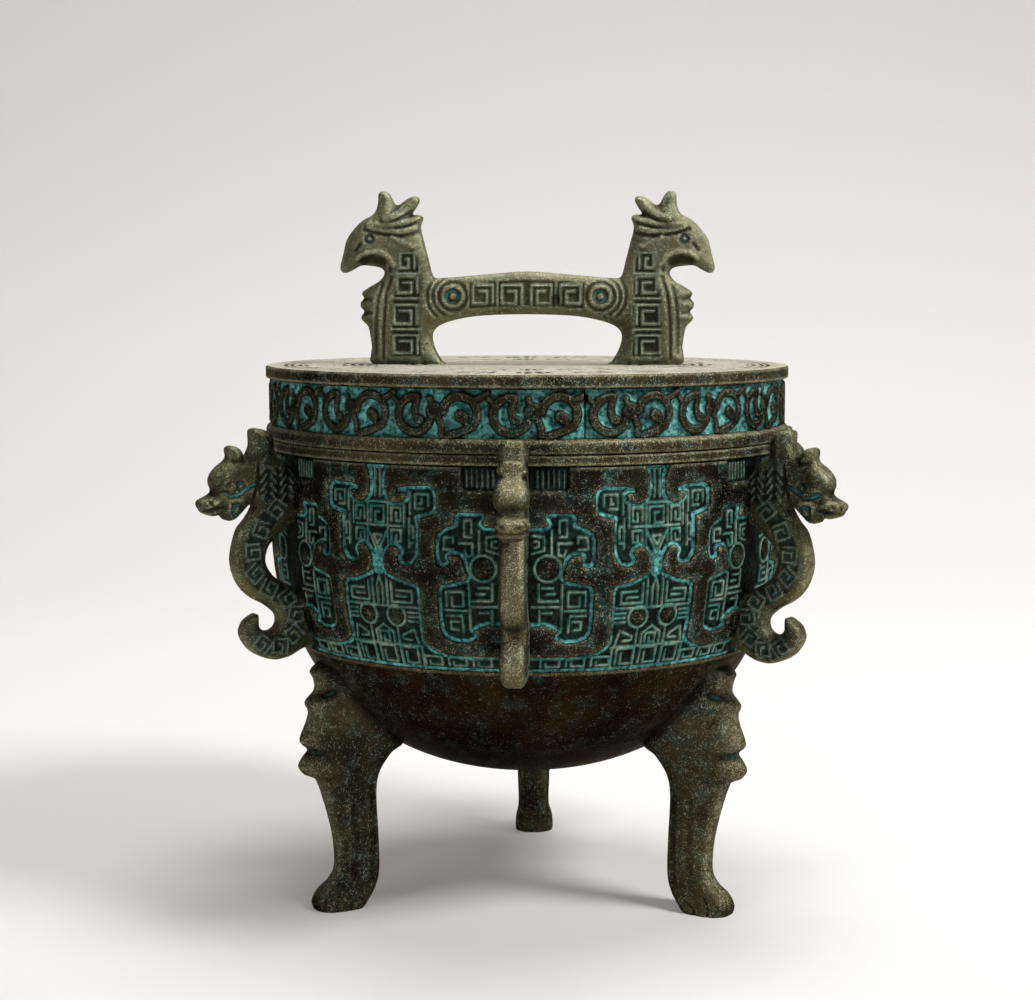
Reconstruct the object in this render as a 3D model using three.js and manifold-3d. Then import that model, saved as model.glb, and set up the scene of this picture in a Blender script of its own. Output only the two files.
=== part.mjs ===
import * as THREE from "three";
import { mergeVertices } from "three/addons/utils/BufferGeometryUtils.js";
import Module from "manifold-3d";

// A covered tripod vessel of cast bronze: a round bowl on three beast-mask legs, six dragon handles,
// a flat lid with a scroll band, and a bridge handle that ends in two bird heads.
// Millimetres, +Z up. The origin is on the ground under the bowl's axis. The lid handle runs along X.

// Bowl
const RIM_Z = 193.4;
const BOWL_R = 107.5;
const SHOULDER_Z = 160;
const BOWL_DROP = 109;
const BOWL_POWER = 2.25;
const WALL = 4;
const RELIEF = 1.2;
const LEDGE_Z = 107;
const LEDGE_H = 2;
const RIM_R = 109;
const RIM_H = 4.4;
const MOUTH_R = 104.2;
const AROUND = 36;
const AROUND_INSIDE = 18;
const WALL_LEVELS = [LEDGE_Z + LEDGE_H + 0.6, 130, SHOULDER_Z, RIM_Z - RIM_H - 1];

// Ornament panels between the dragons, six of them, each in two mirrored halves
const PANELS = 6;
const LOBE_R = 4.9;
const EYE_R = 3.7;
const BOSS_R = 4.5;
const BOSS_SIDES = 6;
const BOSS_RISE = 0.6;
const SINK = 1.6;

// Lid
const LID_TOP_Z = 223.5;
const LID_R = 110;
const LID_PLATE = 5;
const LID_BAND_R = 107.1;
const LID_RING_TOP_Z = 199.2;
const LID_WALL = 4;
const LIP_R = 101.8;
const LIP_W = 3;
const LIP_DROP = 5;
const SCROLLS = 18;
const SCROLL_MID_Z = 208.3;
const SCROLL_R = 6.8;
const SCROLL_W = 3.2;
const SCROLL_STEP = 18.2;
const LID_TURN = 4.1;
const SCROLL_TURN = LID_TURN + 5.1;

// Dragon handles
const DRAGON_T = 10.8;
const DRAGON_BEVEL = 1.4;
const SEAM = 0.3;
const CURL_X = 118.5;
const CURL_Z = 122.3;
const CURL_R = 4.3;
const SNOUT_HALF = 6.4;

// Lid handle
const HANDLE_T = 13;
const HANDLE_BEVEL = 1.6;

// Legs
const LEG_AZIMUTHS = [90, 210, 330];
const LEG_TOP_Z = 103;
const LEG_SIDES = 8;
const LEG_POWER = 2.6;

const wasm = await Module();
wasm.setup();

// A closed three.js geometry as a solid, turned to face out
function solid(geometry) {
  const bare = geometry.clone();
  bare.deleteAttribute("normal");
  bare.deleteAttribute("uv");
  const merged = mergeVertices(bare, 1e-4);
  const places = merged.attributes.position.array;
  const corners = [];
  let volume = 0;
  const a = new THREE.Vector3();
  const b = new THREE.Vector3();
  const c = new THREE.Vector3();
  for (let i = 0; i < merged.index.count; i += 3) {
    const [p, q, r] = [0, 1, 2].map((k) => merged.index.getX(i + k));
    if (p === q || q === r || r === p) {
      continue;
    }
    a.fromArray(places, 3 * p);
    b.fromArray(places, 3 * q);
    c.fromArray(places, 3 * r);
    volume += a.dot(b.cross(c)) / 6;
    corners.push(p, q, r);
  }
  if (volume < 0) {
    corners.reverse();
  }
  const mesh = new wasm.Mesh({
    numProp: 3,
    vertProperties: new Float32Array(places),
    triVerts: new Uint32Array(corners),
  });
  mesh.merge();
  return new wasm.Manifold(mesh);
}

function geometryOf(body) {
  const mesh = body.getMesh();
  const geometry = new THREE.BufferGeometry();
  geometry.setAttribute("position", new THREE.BufferAttribute(new Float32Array(mesh.vertProperties), 3));
  geometry.setIndex(new THREE.BufferAttribute(new Uint32Array(mesh.triVerts), 1));
  geometry.computeVertexNormals();
  return geometry;
}

// Moves every vertex of a geometry to where the function puts it
function shaped(geometry, place) {
  const spots = geometry.attributes.position;
  const spot = new THREE.Vector3();
  for (let i = 0; i < spots.count; i += 1) {
    spot.fromBufferAttribute(spots, i);
    place(spot);
    spots.setXYZ(i, spot.x, spot.y, spot.z);
  }
  return geometry;
}

const vectors = (pairs) => pairs.map(([x, y]) => new THREE.Vector2(x, y));
const radians = THREE.MathUtils.degToRad;

// A turned solid about Z, from a profile of radius and height
function turned(profile, sides = AROUND) {
  const geometry = new THREE.LatheGeometry(profile, sides);
  geometry.rotateX(Math.PI / 2);
  return solid(geometry);
}

// The bowl's outer radius over its ornament, a superellipse below the shoulder
function bowlRadius(z) {
  const drop = THREE.MathUtils.clamp((SHOULDER_Z - z) / BOWL_DROP, 0, 1);
  return BOWL_R * Math.pow(1 - Math.pow(drop, BOWL_POWER), 1 / BOWL_POWER);
}

// Points of the round bottom, from the axis up, inset by the wall's thickness inside
function bottomCurve(inset, topAngle, steps) {
  const points = [];
  for (let i = 0; i <= steps; i += 1) {
    const angle = (topAngle * i) / steps;
    const radius = (BOWL_R - inset) * Math.pow(Math.sin(angle), 2 / BOWL_POWER);
    const drop = (BOWL_DROP - inset) * Math.pow(Math.cos(angle), 2 / BOWL_POWER);
    points.push(new THREE.Vector2(i === 0 ? 0 : radius, SHOULDER_Z - drop));
  }
  return points;
}

// The filled bowl, its wall drawn in by the relief's depth so that the ornament ends at the true outline
function bowlBody(extra = 0) {
  const ledgeAngle = Math.acos(Math.pow((SHOULDER_Z - LEDGE_Z) / (BOWL_DROP - RELIEF), BOWL_POWER / 2));
  const profile = bottomCurve(RELIEF - extra, ledgeAngle, 5);
  const wall = (z, inset) => new THREE.Vector2(bowlRadius(z) - inset + extra, z);
  profile.push(wall(LEDGE_Z + 0.5, 0.1));
  profile.push(wall(LEDGE_Z + LEDGE_H, 0.1));
  for (const z of WALL_LEVELS) {
    profile.push(wall(z, RELIEF));
  }
  profile.push(new THREE.Vector2(RIM_R + extra, RIM_Z - RIM_H));
  profile.push(new THREE.Vector2(RIM_R + extra, RIM_Z - 0.7));
  profile.push(new THREE.Vector2(RIM_R - 0.7 + extra, RIM_Z));
  profile.push(new THREE.Vector2(0, RIM_Z));
  return turned(profile);
}

function bowlHollow() {
  const profile = bottomCurve(WALL + RELIEF, Math.PI / 2, 6);
  profile.push(new THREE.Vector2(MOUTH_R, RIM_Z - 12));
  profile.push(new THREE.Vector2(MOUTH_R, RIM_Z + 1));
  profile.push(new THREE.Vector2(0, RIM_Z + 1));
  return turned(profile, AROUND_INSIDE);
}

// Wraps a flat shape (x along the arc, y up, z off the wall) round the axis at an azimuth
function wrapped(geometry, radiusAt, arcRadius, azimuth, side) {
  return shaped(geometry, (spot) => {
    const angle = azimuth + (side * spot.x) / arcRadius;
    const radius = radiusAt(spot.y) + spot.z;
    spot.set(radius * Math.cos(angle), radius * Math.sin(angle), spot.y);
  });
}

// A raised ridge along a row of points: its crest stands off the wall and its two feet are sunk in it
function ridge(points, width) {
  const last = points.length - 1;
  const bar = new THREE.CylinderGeometry(1, 1, 1, 3, last);
  return shaped(bar, (spot) => {
    const i = Math.round((spot.y + 0.5) * last);
    const before = points[i].clone().sub(points[Math.max(i - 1, 0)]).normalize();
    const after = points[Math.min(i + 1, last)].clone().sub(points[i]).normalize();
    const along = before.clone().add(after).normalize();
    const middle = Math.hypot(spot.x, spot.z) < 1e-6;
    const crest = !middle && spot.z > 0.9;
    const reach = crest || middle ? 0 : Math.sign(spot.x) * width;
    const depth = crest ? 0 : -RELIEF - SINK;
    spot.set(points[i].x - along.y * reach, points[i].y + along.x * reach, depth);
  });
}

// A raised boss with a pointed top, its foot sunk in the wall
function boss(x, z, radius) {
  const height = BOSS_RISE + RELIEF + SINK;
  const cone = new THREE.ConeGeometry((radius * height) / (BOSS_RISE + RELIEF), height, BOSS_SIDES);
  cone.rotateX(Math.PI / 2);
  return cone.translate(x, z, BOSS_RISE - height / 2);
}

// The broad plain band of one half of a mask panel, measured from the panel's middle line: a horn that
// curls in at the top, a trunk with an arm to each side, and a foot that runs out to the dragon and curls up.
// It is laid out in short pieces that share their ends, so that each follows the round of the wall.
function maskBand() {
  const round = (x, z, angles) => angles.map((degrees) => {
    const angle = radians(degrees);
    return [x + LOBE_R * Math.cos(angle), z + LOBE_R * Math.sin(angle)];
  });
  const hornCut = [[16, 188.2], [16, 181]];
  const neckCut = [[35.2, 178.4], [26.4, 178.4]];
  const shoulderCut = [[35.2, 178.4], [35.2, 171]];
  const armCut = [[26, 151.3], [17.6, 151.3]];
  const elbowCut = [[17.6, 143.8], [26, 143.8]];
  const heelCut = [[17.6, 121.5], [26, 121.5]];
  const footCut = [[33, 121.5], [33, 114.2]];
  const pieces = [
    [[3.8, 188.2], ...hornCut, ...round(8.5, 179, [-20, -140])],
    [hornCut[0], [31.5, 188.2], ...neckCut, [25, 181], hornCut[1]],
    [...shoulderCut, [40.5, 171], ...round(45, 171, [-80, 40])],
    [...neckCut, [17.6, 167], armCut[1], armCut[0], [26, 164], shoulderCut[1]],
    [...armCut, ...elbowCut],
    [elbowCut[0], armCut[1], ...round(7.8, 152.8, [50, 130]), [3.5, 143.8]],
    [armCut[0], elbowCut[1], [37, 143.8], ...round(33, 152.9, [50, 130])],
    [...elbowCut, heelCut[1], heelCut[0]],
    [...heelCut, ...footCut, [22, 114.2]],
    [...footCut, [47.5, 114.2], ...round(44.8, 123.5, [40, 130])],
  ];
  return pieces.map((piece) => {
    const flat = new THREE.Shape(vectors(piece));
    const band = new THREE.ExtrudeGeometry(flat, { depth: RELIEF + SINK, bevelEnabled: false });
    return band.translate(0, 0, -RELIEF - SINK);
  });
}

function maskPanels() {
  const parts = [];
  for (let panel = 0; panel < PANELS; panel += 1) {
    const azimuth = radians((360 / PANELS) * panel);
    for (const side of [1, -1]) {
      const flat = [...maskBand(), boss(6.8, 130.3, EYE_R), boss(44.5, 150.3, BOSS_R)];
      parts.push(...flat.map((part) => solid(wrapped(part, bowlRadius, BOWL_R, azimuth, side))));
    }
  }
  return wasm.Manifold.union(parts);
}

// One leg along +X: the front line of hoof, shin, beast mask and brow, as radius over height
function legBody() {
  const front = [
    [98.6, 0], [99.3, 3], [97, 7.5], [92.4, 11.2], [89.4, 17], [90, 29], [93, 42], [97.5, 54.5],
    [103.4, 57.6], [105.3, 60.6], [103.8, 63.8], [101.5, 67], [104.6, 71.4], [101, 79.5], [100.2, 83],
    [102, 87], [96.8, 91.5], [97.6, 95.5], [100.3, 100.5], [92.5, LEG_TOP_Z],
  ];
  const back = new THREE.SplineCurve(vectors([
    [76.5, 0], [71.5, 7.5], [69.2, 15], [69.6, 30], [70.4, 47], [69.4, 57], [64.5, 65], [60, 72], [70, 86],
    [84, LEG_TOP_Z],
  ]));
  const half = new THREE.SplineCurve(vectors([
    [9, 0], [8.8, 6], [7.3, 14], [7.6, 26], [8.3, 42], [9.2, 54], [11.4, 62], [11.8, 72], [12, 80],
    [10.6, 88], [8.6, 96], [6.5, LEG_TOP_Z],
  ]));
  const valueAt = (curve, z) => {
    const line = curve.getPoints(120);
    const next = Math.max(line.findIndex((point) => point.y >= z - 1e-6), 1);
    const share = (z - line[next - 1].y) / (line[next].y - line[next - 1].y);
    return THREE.MathUtils.lerp(line[next - 1].x, line[next].x, THREE.MathUtils.clamp(share, 0, 1));
  };
  const power = (value) => Math.sign(value) * Math.pow(Math.abs(value), 2 / LEG_POWER);
  const tube = new THREE.CylinderGeometry(1, 1, 1, LEG_SIDES, front.length - 1);
  shaped(tube, (spot) => {
    const level = Math.round((spot.y + 0.5) * (front.length - 1));
    const [outer, z] = front[level];
    const inner = valueAt(back, z);
    const across = (outer - inner) / 2;
    const size = Math.hypot(spot.x, spot.z);
    const ahead = size < 1e-6 ? 0 : power(spot.z / size);
    const aside = size < 1e-6 ? 0 : power(spot.x / size);
    spot.set(inner + across + across * ahead, valueAt(half, z) * aside, z);
  });
  return solid(tube);
}

// The casting in one: bowl, legs and panels, without the empty slivers that joined pieces can leave inside
function vesselBody() {
  let body = bowlBody();
  const leg = legBody();
  for (const azimuth of LEG_AZIMUTHS) {
    body = body.add(leg.rotate([0, 0, azimuth]));
  }
  const shells = body.add(maskPanels()).subtract(bowlHollow()).decompose();
  shells.sort((one, other) => other.volume() - one.volume());
  return shells[0];
}

// One scroll motif: a ring open at the upper right, then an arch with its tail to the lower left
function scrollLine() {
  const round = (x, degrees) => {
    const angle = radians(degrees);
    return [x + SCROLL_R * Math.cos(angle), SCROLL_MID_Z + SCROLL_R * Math.sin(angle)];
  };
  const ring = [75, 160, 245, 330].map((degrees) => round(0, degrees));
  const arch = [130, 30].map((degrees) => round(SCROLL_STEP, degrees));
  return vectors([...ring, ...arch, [SCROLL_STEP - 3.5, SCROLL_MID_Z - 8]]);
}

function lidBody() {
  const top = LID_TOP_Z;
  const outside = vectors([
    [0, top],
    [LID_R, top],
    [LID_R, top - LID_PLATE],
    [LID_BAND_R, top - LID_PLATE - 1.2],
    [LID_BAND_R, LID_RING_TOP_Z + 0.4],
    [LID_R - 1, LID_RING_TOP_Z],
    [LID_R, LID_RING_TOP_Z - 1.8],
    [LID_R, RIM_Z + 1.2],
    [LID_R - 1, RIM_Z],
    [LIP_R, RIM_Z],
    [LIP_R, RIM_Z - LIP_DROP],
    [0, RIM_Z - LIP_DROP],
  ]);
  const hollow = vectors([
    [0, RIM_Z - LIP_DROP - 1],
    [LIP_R - LIP_W, RIM_Z - LIP_DROP - 1],
    [LIP_R - LIP_W, RIM_Z + 2],
    [LID_BAND_R - LID_WALL, RIM_Z + 6],
    [LID_BAND_R - LID_WALL, top - LID_PLATE],
    [0, top - LID_PLATE],
  ]);
  const scrolls = [];
  const radiusAt = () => LID_BAND_R + RELIEF;
  for (let i = 0; i < SCROLLS; i += 1) {
    const azimuth = radians(SCROLL_TURN + (360 / SCROLLS) * i);
    const strip = ridge(scrollLine(), SCROLL_W);
    scrolls.push(solid(wrapped(strip, radiusAt, LID_BAND_R, azimuth, 1)));
  }
  const shell = turned(outside).rotate([0, 0, LID_TURN]);
  return shell.add(wasm.Manifold.union(scrolls)).subtract(turned(hollow, AROUND_INSIDE));
}

// A plate cut to an outline in the XZ plane, with its edges eased on both sides
function plate(outline, thickness, bevel, place = () => {}) {
  const geometry = new THREE.ExtrudeGeometry(new THREE.Shape(outline), {
    depth: thickness - 2 * bevel,
    bevelEnabled: true,
    bevelThickness: bevel,
    bevelSize: bevel,
    bevelOffset: -bevel,
    bevelSegments: 1,
  });
  geometry.translate(0, 0, bevel - thickness / 2);
  geometry.rotateX(Math.PI / 2);
  return solid(shaped(geometry, place));
}

// The dragon's side view as radius and height, from its nape round by the head, belly and curled tail
function dragonOutline() {
  const curl = [155, 215, 275, 335].map((degrees) => {
    const angle = radians(degrees);
    return [CURL_X + CURL_R * Math.cos(angle), CURL_Z + CURL_R * Math.sin(angle)];
  });
  const nape = [[96, 183.5], [107.5, 183.7], [115, 190.2]];
  const crest = [[116, 197.6], [120, 200], [124.6, 199.6], [127, 188]];
  const ear = [[130, 193.2], [135, 192.6], [135.2, 187.8]];
  const brow = [[140.2, 184.5], [143, 180], [142, 175]];
  const snout = [[147.4, 172.8], [147.6, 168.6], [138.6, 166]];
  const jaw = [[135, 163.6], [130.8, 165], [125, 170]];
  const belly = [[130.6, 159.6], [133.6, 148], [129.4, 136.4], [116.5, 127.4]];
  const tail = [[123.5, 125.4], [129.2, 121], [127.4, 112.4], [119, 107], [110, 107]];
  const joint = [[103, 110.4], [90, 114], [90, 130], [104, 133.5]];
  const loop = [[113, 138.4], [119.2, 146], [117, 153.8], [104, 165.2]];
  const head = [...nape, ...crest, ...ear, ...brow, ...snout, ...jaw];
  return vectors([...head, ...belly, ...curl, ...tail, ...joint, ...loop]);
}

function dragonBody() {
  const plain = plate(dragonOutline(), DRAGON_T, DRAGON_BEVEL, (spot) => {
    const ahead = THREE.MathUtils.smoothstep(spot.x, 138, 144);
    spot.y *= THREE.MathUtils.lerp(1, SNOUT_HALF / (DRAGON_T / 2), ahead);
  });
  return plain.subtract(bowlBody(SEAM));
}

// The lid handle's front view, one half from the middle of the bar round by the foot and the bird's head
function handleOutline() {
  const arch = [[0, 244.5], [16, 244.1], [29, 242.4], [37, 239.8], [40.1, 235.8], [38.8, 229.4]];
  const foot = [[35, LID_TOP_Z], [64, LID_TOP_Z], [66.8, 239]];
  const chest = [[69.9, 243], [68.7, 245.6], [70.3, 248.4], [68.7, 251], [69.9, 253.4], [66, 256.3]];
  const throat = [[61.4, 259.2], [60.4, 262.6], [65, 264.6], [71.5, 264.8]];
  const beak = [[77, 261.6], [79, 264.2], [77.3, 270.4], [75.6, 277]];
  const head = [[70.4, 283.2], [63.8, 286.8], [62.8, 293], [61.4, 296.2], [58, 295.6], [55, 289.8]];
  const feathers = [[50.4, 292.9], [46.4, 294], [45.4, 291.6], [49, 285.8], [45.4, 286.4], [43.7, 284.8]];
  const nape = [[45.2, 279.8], [42.4, 271], [39.8, 260.2], [28, 260.4], [14, 261.8], [0, 262.5]];
  const half = vectors([...arch, ...foot, ...chest, ...throat, ...beak, ...head, ...feathers, ...nape]);
  const other = half.slice(1, -1).reverse().map((point) => new THREE.Vector2(-point.x, point.y));
  return [...half, ...other];
}

function handleBody() {
  return plate(handleOutline(), HANDLE_T, HANDLE_BEVEL);
}

const castFinish = { roughness: 0.62, metalness: 0.7 };
const bronze = (colour) => new THREE.MeshStandardMaterial({ color: colour, ...castFinish });
const darkBronze = bronze(0x3a3626);
const greenBronze = bronze(0x3d5c52);
const wornBronze = bronze(0x6e6a4c);

const vessel = new THREE.Group();

function addPiece(name, geometry, material, azimuth = 0) {
  const mesh = new THREE.Mesh(geometry, material);
  mesh.name = name;
  mesh.rotation.z = radians(azimuth);
  vessel.add(mesh);
}

addPiece("vessel", geometryOf(vesselBody()), darkBronze);
addPiece("lid", geometryOf(lidBody()), greenBronze);
addPiece("lid_handle", geometryOf(handleBody()), wornBronze);
const dragon = geometryOf(dragonBody());
for (let i = 0; i < PANELS; i += 1) {
  addPiece(`dragon_${i + 1}`, dragon, wornBronze, 30 + (360 / PANELS) * i);
}

export default vessel;
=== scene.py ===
import math

import bpy
import numpy as np
from mathutils import Matrix, Vector


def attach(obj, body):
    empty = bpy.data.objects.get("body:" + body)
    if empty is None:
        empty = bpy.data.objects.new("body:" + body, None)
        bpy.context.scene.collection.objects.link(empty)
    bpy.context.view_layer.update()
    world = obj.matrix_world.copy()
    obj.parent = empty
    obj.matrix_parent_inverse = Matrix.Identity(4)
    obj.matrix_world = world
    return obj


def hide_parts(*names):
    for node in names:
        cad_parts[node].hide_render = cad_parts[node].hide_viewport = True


# A covered tripod vessel of cast bronze, with its relief, patina and wear.
# Sizes are in millimetres, and MM turns them to Blender's metres.
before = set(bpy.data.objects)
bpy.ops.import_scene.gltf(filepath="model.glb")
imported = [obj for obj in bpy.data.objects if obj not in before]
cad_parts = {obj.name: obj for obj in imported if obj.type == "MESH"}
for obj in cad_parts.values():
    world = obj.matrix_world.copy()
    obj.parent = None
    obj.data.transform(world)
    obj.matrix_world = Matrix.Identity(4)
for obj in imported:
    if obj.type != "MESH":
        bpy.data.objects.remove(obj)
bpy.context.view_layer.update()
MM = 0.001

# Relief: the pitch of its height maps, and the level at which a hollow is darkened with dirt and painted
# shade but holds no turquoise yet
RELIEF_PITCH = 0.25
DIRT_AND_SHADE_LEVEL = 0.34
# Edges sharper than this stay crisp, in degrees: on turned pieces, and on pieces with relief
TURNED_ANGLE = 40
RELIEF_ANGLE = 60

# Bowl
RIM_Z = 193.4
RIM_R = 109.0
RIM_H = 4.2
MOUTH_R = 104.2
BOWL_R = 107.5
SHOULDER_Z = 160.0
BOWL_DROP = 109.0
BOWL_POWER = 2.25
WALL = 5.2
PLAIN_INSET = 1.2
LEDGE_Z = 107.0
TURN_STEPS = 192

# Mask panels between the dragons
PANELS = 6
PANEL_LOW_Z = 109.0
PANEL_HIGH_Z = 188.6
PANEL_BACK = 2.6
PANEL_CELL = 0.5
GROOVE_DEPTH = 0.9
FIELD_DEPTH = 0.7
FIELD_PATINA = 0.37
FINE_LINE = 0.9
EDGE_LINE = 1.3
BAND_RISE = 1.0
BAND_ROUND = 3.2
EYE = (6.8, 130.3, 3.7)
SIDE_BOSS = (44.0, 150.3, 4.5)
BOSS_RISE = 1.3
COMB = (37.8, 39.8, 41.8, 43.8, 46, 48)

# Lid
LID_TOP_Z = 223.5
LID_R = 110.0
LID_PLATE = 5.0
BAND_R = 107.1
BAND_LOW_Z = 199.3
BAND_HIGH_Z = 218.4
SCROLL_RISE = 1.7
LID_TURN = 4.1
SEAM_TURN = LID_TURN + 40
SCROLLS_A_PANEL = 3
SCROLL_START = 9.5
SCROLL_MID_Z = 208.3
LIP_R = 101.8
TOP_LOW_R = 40.0
TOP_HIGH_R = 104.0
TOP_RINGS = (44, 48, 70, 74, 99, 102)
# Rows of spirals on the lid's top, each with its radius, half its height and how many lie in a sixth
TOP_ROWS = ((59, 8, 4), (86.5, 9.5, 4))
TOP_CELL = 1.2
TOP_BACK = 1.5
BAND_BACK = 1.9

# Dragon handles and lid handle
DRAGON_START = 30
DRAGON_T = 10.8
SNOUT_T = 12.8
SNOUT_BACK = 1.4
# Domes on the dragon's head, each with its X, Z, radius and rise
DRAGON_BOSSES = [
    (137.4, 181, 6.4, 1.6), (133, 170.6, 4.4, 1.1), (143.6, 169.6, 4, 1.2), (131.6, 190, 2.8, 0.8),
    (120, 195, 4, 0.8),
]
# Notches painted dark as shade, each with its X, Z and reach
DRAGON_SHADE_NOTCHES = [
    (127.3, 188.2, 3.6), (142.4, 176, 3.4), (138.4, 165, 2.8), (124.6, 169.8, 3), (121, 128.6, 3),
]
# Notches of the lid handle painted dark as shade, each with its X, Z and reach
HANDLE_SHADE_NOTCHES = [(62, 262.6, 3), (55, 289.6, 2.4), (49, 286, 2), (68.4, 245.6, 1.8), (68.4, 251.2, 1.8)]
HANDLE_T = 13.0
CHIP = (12.4, 250.4, 2.2)
CHIP_DEPTH = 0.9
DRAGON_CELL = 0.75
HANDLE_CELL = 0.65

# Legs
LEG_TOP_Z = 103.0
LEG_SIDES = 80
LEG_ROWS = 150
LEG_POWER = 2.6
LEG_FLARE = 0.22
FLARE_REACH = 5.0
LEG_RIDGE = 7.0
IN_WALL = 0.965
LEGS = {"leg_back": 90, "leg_left": 210, "leg_right": 330}

# Backdrop, in metres: its floor and where that ends, the sweep up into its wall, and the wall above it
FLOOR_SIZE = 8.0
WALL_H = 3.0
SWEEP_START = 0.8
SWEEP_R = 1.8
SWEEP_STEPS = 24
# The wall is painted lighter than the floor as light falls there, and the paper glows as painted light
PAPER_FLOOR = "#BEBAB6"
PAPER_WALL = "#ECE9E6"
PAPER_GLOW = 0.235

# Soft boxes, in metres and watts: where each stands, what it is aimed at, its size and its power
LIGHTS = {
    "key_light": ((1.2, -0.6, 1.4), (0, 0, 0.15), 0.6, 34),
    "fill_light": ((-1.2, -1.3, 1.0), (0, 0, 0.15), 1.0, 5),
    "top_light": ((0.1, 0.2, 1.8), (0, 0, 0.2), 0.9, 22),
}
ROOM_TONE = "#E6E4E2"
ROOM_LIGHT = 0.12

# Camera, fitted to the photograph
CAMERA_SPOT = (36.4, -889.3, 257.0)
CAMERA_TURN = 2.6
CAMERA_PITCH = 5.87
CAMERA_LENS = 72.9
SENSOR = 36.0


# Curves and small sums

def smooth(share):
    share = np.clip(share, 0, 1)
    return share * share * (3 - 2 * share)


def rounded(share):
    """The height of a quarter circle along its foot, from 0 to 1."""
    return np.sqrt(1 - (1 - np.clip(share, 0, 1)) ** 2)


def arc(x, z, radius, start, end, steps=16):
    angles = np.radians(np.linspace(start, end, steps))
    return [(x + radius * math.cos(a), z + radius * math.sin(a)) for a in angles]


def flowing(points, steps=5, closed=False):
    """A smooth curve through the points, with a few steps between each two."""
    points = np.array(points, float)
    if closed:
        points = np.vstack([points[-1:], points, points[:2]])
    else:
        points = np.vstack([2 * points[:1] - points[1:2], points, 2 * points[-1:] - points[-2:-1]])
    share = np.linspace(0, 1, steps, endpoint=False)[:, None]
    line = []
    for before, start, end, after in zip(points, points[1:], points[2:], points[3:]):
        bend = 2 * before - 5 * start + 4 * end - after
        twist = 3 * (start - end) + after - before
        line.append(start + share * (end - before + share * (bend + share * twist)) / 2)
    if not closed:
        line.append(points[-2:-1])
    return np.vstack(line)


def key_spiral(x, z, half_wide, half_high, gap, legs, turn=0):
    """A square spiral from its outer end in; a negative half width mirrors it, and turn is in degrees."""
    side = math.copysign(1, half_wide)
    left, right = -abs(half_wide), abs(half_wide)
    low, high = -half_high, half_high
    spots = [(left, low)]
    for leg in range(legs):
        across, up = spots[-1]
        if leg % 4 == 0:
            spots.append((across, high))
            high -= gap
        elif leg % 4 == 1:
            spots.append((right, up))
            right -= gap
        elif leg % 4 == 2:
            spots.append((across, low))
            low += gap
        else:
            left += gap
            spots.append((left, up))
    c, s = math.cos(math.radians(turn)), math.sin(math.radians(turn))
    return [(x + c * side * a - s * b, z + s * side * a + c * b) for a, b in spots]


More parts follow.
